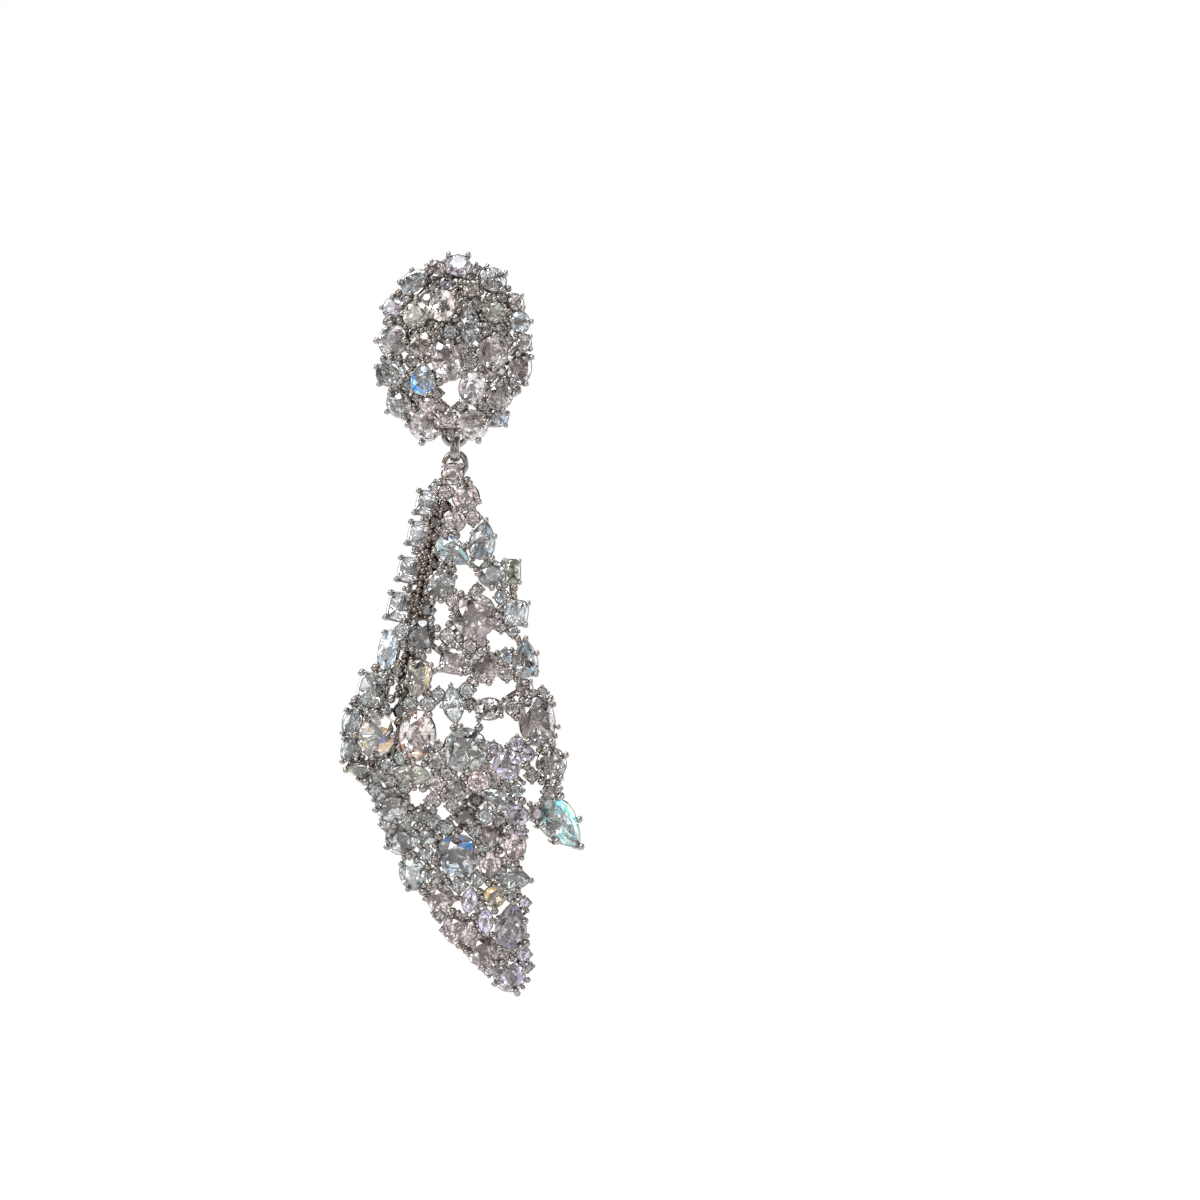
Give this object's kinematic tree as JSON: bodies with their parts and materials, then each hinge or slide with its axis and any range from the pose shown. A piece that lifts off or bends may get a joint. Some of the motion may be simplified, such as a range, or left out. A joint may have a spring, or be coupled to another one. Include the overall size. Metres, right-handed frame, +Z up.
{
  "type": "chandelier earring",
  "caption": "Chandelier earring: a domed cluster of claw-set clear stones on a post, and a long openwork drop folded like a kerchief that swings on a link.",
  "frame": {"origin": "where the ear post leaves the flat back of the cluster's pad, which sits on the ear lobe", "axes": "+Z up along the hanging drop, -Y the way the stones face, +Y along the ear post, +X to the right seen from the front"},
  "size_m": [0.0244, 0.0188, 0.0742],
  "materials": {
    "rhodium_metal": "bright rhodium plate over silver, a little worn on the claw tips",
    "clear_stone": "polished, faceted cubic zirconia"
  },
  "bodies": {
    "dome": {"dome_frame": "rhodium_metal", "dome_oval_1": "clear_stone", "dome_oval_2": "clear_stone", "dome_oval_3": "clear_stone", "dome_oval_4": "clear_stone", "dome_oval_5": "clear_stone", "dome_pear_1": "clear_stone", "dome_pear_2": "clear_stone", "dome_round_1": "clear_stone", "dome_round_2": "clear_stone", "dome_round_3": "clear_stone", "dome_round_4": "clear_stone", "ear_post": "rhodium_metal"},
    "link": {"neck_link": "rhodium_metal"},
    "drop": {"drop_cushion_1": "clear_stone", "drop_cushion_2": "clear_stone", "drop_cushion_3": "clear_stone", "drop_frame": "rhodium_metal", "drop_oval_1": "clear_stone", "drop_oval_2": "clear_stone", "drop_oval_3": "clear_stone", "drop_oval_4": "clear_stone", "drop_oval_5": "clear_stone", "drop_oval_6": "clear_stone", "drop_pear_1": "clear_stone", "drop_pear_2": "clear_stone", "drop_pear_3": "clear_stone", "drop_pear_4": "clear_stone", "drop_pear_5": "clear_stone", "drop_pear_6": "clear_stone", "drop_pear_7": "clear_stone", "drop_round_1": "clear_stone", "drop_round_10": "clear_stone", "drop_round_11": "clear_stone", "drop_round_2": "clear_stone", "drop_round_3": "clear_stone", "drop_round_4": "clear_stone", "drop_round_5": "clear_stone", "drop_round_6": "clear_stone", "drop_round_7": "clear_stone", "drop_round_8": "clear_stone", "drop_round_9": "clear_stone"}
  },
  "joints": [
    {"name": "link_swing", "type": "hinge", "parent": "dome", "child": "link", "pos_m": [0, -0.0022, -0.01268], "axis": [1, 0, 0], "range_deg": [-20, 20]},
    {"name": "drop_swing", "type": "hinge", "parent": "link", "child": "drop", "pos_m": [0, -0.0022, -0.01413], "axis": [0, 1, 0], "range_deg": [-20, 20]}
  ]
}
